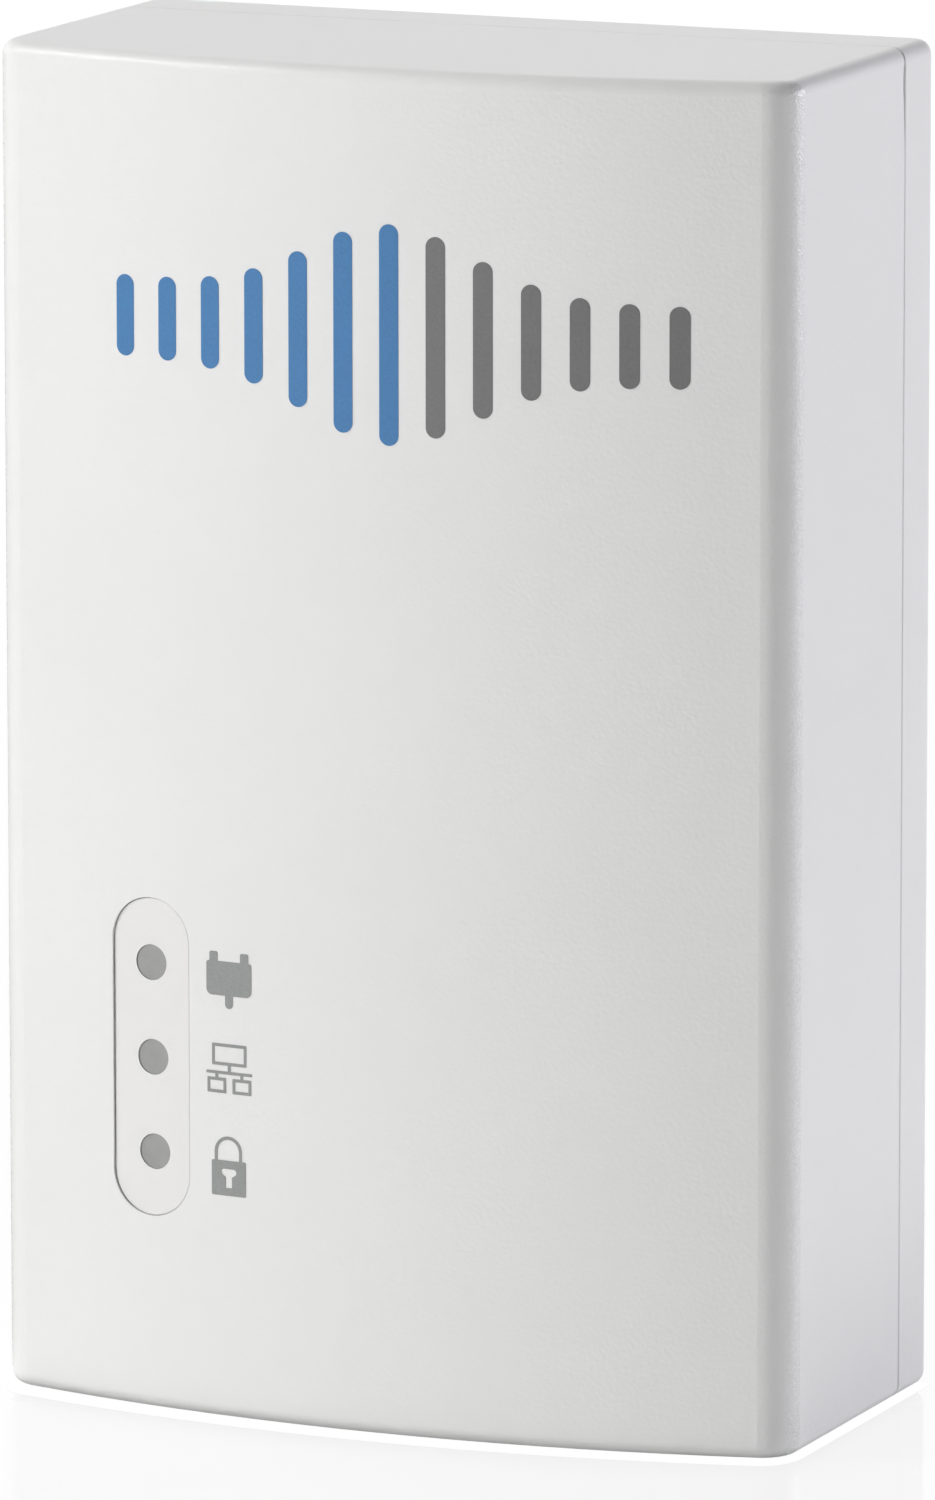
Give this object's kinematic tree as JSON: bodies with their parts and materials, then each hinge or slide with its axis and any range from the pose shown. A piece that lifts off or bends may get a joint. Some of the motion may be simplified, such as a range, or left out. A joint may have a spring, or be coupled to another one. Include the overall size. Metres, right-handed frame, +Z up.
{
  "type": "powerline adapter",
  "caption": "Wall-plug powerline network adapter: bowed white casing, pill-shaped status window, mains blades and ground pin behind, network jack and pairing button underneath.",
  "frame": {"origin": "on the flat rear face, midway between the two mains blades", "axes": "+Z up along the height, +Y out of the rear face along the blades, the front faces -Y, +X to the right seen from the front"},
  "size_m": [0.0658, 0.0543, 0.105],
  "materials": {
    "casing_white": "fine spark-eroded texture, satin-matte",
    "bezel_white": "fine texture, slightly warmer white",
    "light_guide": "smoked clear, satin face",
    "button_white": "fine texture",
    "plug_white": "smooth moulded",
    "plug_metal": "nickel plated, fine drawing lines",
    "screw_steel": "zinc plated",
    "label_grey": "satin printed film, plain",
    "wire_black": "satin insulation",
    "wire_white": "satin insulation",
    "wire_green": "satin insulation",
    "board_green": "solder mask over glass fibre",
    "sheet_clear": "translucent film",
    "fuse_brown": "moulded",
    "disc_blue": "dipped epoxy",
    "film_yellow": "moulded case",
    "film_grey": "moulded case",
    "ferrite": "sintered",
    "copper_wire": "enamelled",
    "chip_black": "moulded epoxy",
    "cap_sleeve": "shrink sleeve",
    "bobbin_black": "glass-filled",
    "tape_yellow": "polyester tape",
    "pin_gold": "plated",
    "sink_aluminium": "extruded",
    "pad_grey": "silicone",
    "can_steel": "drawn can",
    "chip_part": "sintered",
    "led_cream": "lens",
    "shield_steel": "tin plated",
    "jack_black": "moulded",
    "dome_steel": "spring steel",
    "plunger_black": "moulded"
  },
  "bodies": {
    "root": {"front_shell": "casing_white", "rear_cover": "casing_white", "rear_label": "label_grey", "led_bezel": "bezel_white", "light_pipe": "light_guide", "plug_insert": "plug_white", "line_blade": "plug_metal", "neutral_blade": "plug_metal", "ground_pin": "plug_metal", "line_lead": "wire_black", "neutral_lead": "wire_white", "ground_lead": "wire_green", "plug_screws": "screw_steel", "housing_screws": "screw_steel", "power_board_screws": "screw_steel", "board_screws": "screw_steel", "power_board": "board_green", "fuse": "fuse_brown", "varistor": "disc_blue", "x_capacitor": "film_yellow", "choke_core": "ferrite", "choke_windings": "copper_wire", "bridge_rectifier": "chip_black", "bulk_capacitors": "cap_sleeve", "transformer_core": "ferrite", "transformer_bobbin": "bobbin_black", "transformer_winding": "tape_yellow", "controller_chip": "chip_black", "optocoupler": "chip_black", "y_capacitor": "disc_blue", "rectifier_diodes": "chip_black", "output_capacitors": "cap_sleeve", "filter_inductor": "ferrite", "coupling_transformer": "ferrite", "coupling_capacitor": "film_grey", "board_header": "bobbin_black", "header_pins": "pin_gold", "insulation_sheet": "sheet_clear", "main_board": "board_green", "board_socket": "bobbin_black", "soc_chip": "chip_black", "thermal_pad": "pad_grey", "heat_sink": "sink_aluminium", "ddr_memory": "chip_black", "flash_memory": "chip_black", "phy_chip": "chip_black", "crystal": "can_steel", "power_inductors": "ferrite", "smd_passives": "chip_part", "status_leds": "led_cream", "lan_transformer": "chip_black", "rj45_housing": "jack_black", "rj45_shield": "shield_steel", "rj45_contacts": "pin_gold", "switch_bases": "bobbin_black", "switch_frames": "can_steel", "switch_domes": "dome_steel"},
    "pair_button": {"pair_button": "button_white"},
    "pair_plunger": {"pair_switch_plunger": "plunger_black"},
    "reset_plunger": {"reset_switch_plunger": "plunger_black"}
  },
  "joints": [
    {"name": "pair_button_press", "type": "slide", "parent": "root", "child": "pair_button", "axis": [0, 0, 1], "range_m": [0, 0.0003]},
    {"name": "pair_switch_travel", "type": "slide", "parent": "root", "child": "pair_plunger", "axis": [0, 0, 1], "range_m": [0, 0.0003]},
    {"name": "reset_switch_travel", "type": "slide", "parent": "root", "child": "reset_plunger", "axis": [0, 0, 1], "range_m": [0, 0.0003]}
  ],
  "couplings": [
    {"joint": "pair_switch_travel", "follows": "pair_button_press", "ratio": 1}
  ]
}
